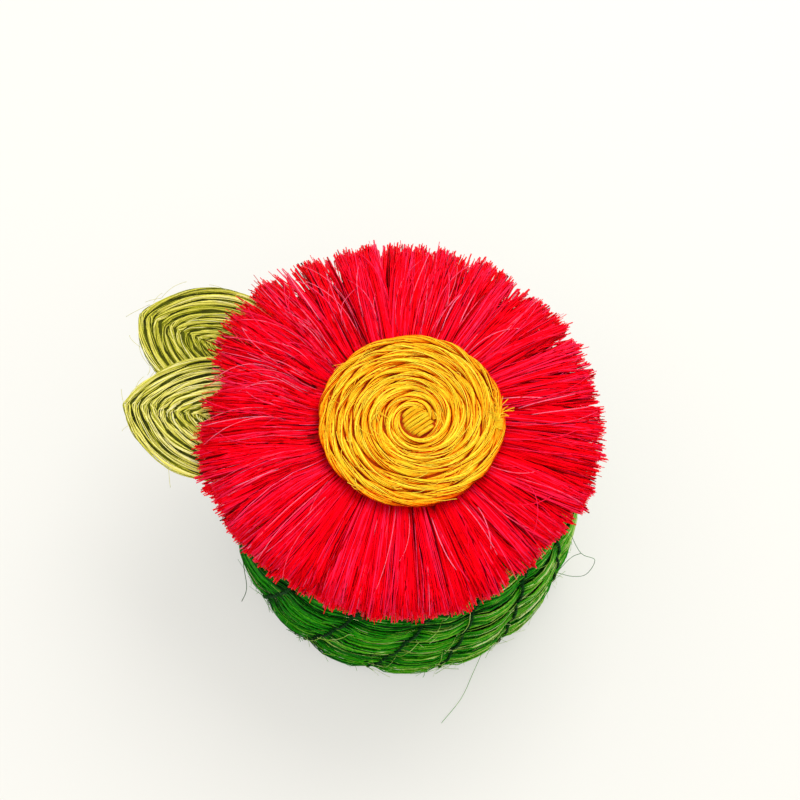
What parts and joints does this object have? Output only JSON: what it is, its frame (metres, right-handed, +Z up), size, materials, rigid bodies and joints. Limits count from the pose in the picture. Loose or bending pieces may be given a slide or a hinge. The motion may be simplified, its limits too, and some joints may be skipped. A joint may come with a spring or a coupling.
{
  "type": "flower-lidded coiled fibre basket",
  "caption": "Small round lidded basket coiled from dyed plant fibre, with a fringed fibre flower and coiled leaves sewn on its lid; it holds trinkets.",
  "frame": {"origin": "centre of the basket's base, on the surface that it stands on", "axes": "+Z up through the lid; -Y is the front of the picture; the leaves reach towards -X"},
  "size_m": [0.1193, 0.1001, 0.0717],
  "materials": {
    "green_fibre": "dyed plant fibre laid in long bundles, soft sheen, streaked light and dark",
    "dark_green_thread": "twisted dyed fibre thread, dull",
    "olive_fibre": "dyed plant fibre strands wound in nested points, soft sheen",
    "red_fibre": "dyed straight plant fibres with cut ends, silky sheen",
    "yellow_fibre": "dyed plant fibre strand wound flat in close turns, silky sheen"
  },
  "bodies": {
    "root": {"basket_coil": "green_fibre", "wall_stitch_01": "dark_green_thread", "wall_stitch_02": "dark_green_thread", "wall_stitch_03": "dark_green_thread", "wall_stitch_04": "dark_green_thread", "wall_stitch_05": "dark_green_thread", "wall_stitch_06": "dark_green_thread", "wall_stitch_07": "dark_green_thread", "wall_stitch_08": "dark_green_thread", "wall_stitch_09": "dark_green_thread", "wall_stitch_10": "dark_green_thread", "wall_stitch_11": "dark_green_thread", "wall_stitch_12": "dark_green_thread", "wall_stitch_13": "dark_green_thread", "wall_stitch_14": "dark_green_thread", "wall_stitch_15": "dark_green_thread", "lid_coil": "green_fibre", "lid_seat_ring": "green_fibre", "leaf_upper": "olive_fibre", "leaf_lower": "olive_fibre", "petal_fringe": "red_fibre", "flower_centre_coil": "yellow_fibre", "coil_end_knot": "yellow_fibre"}
  },
  "joints": []
}
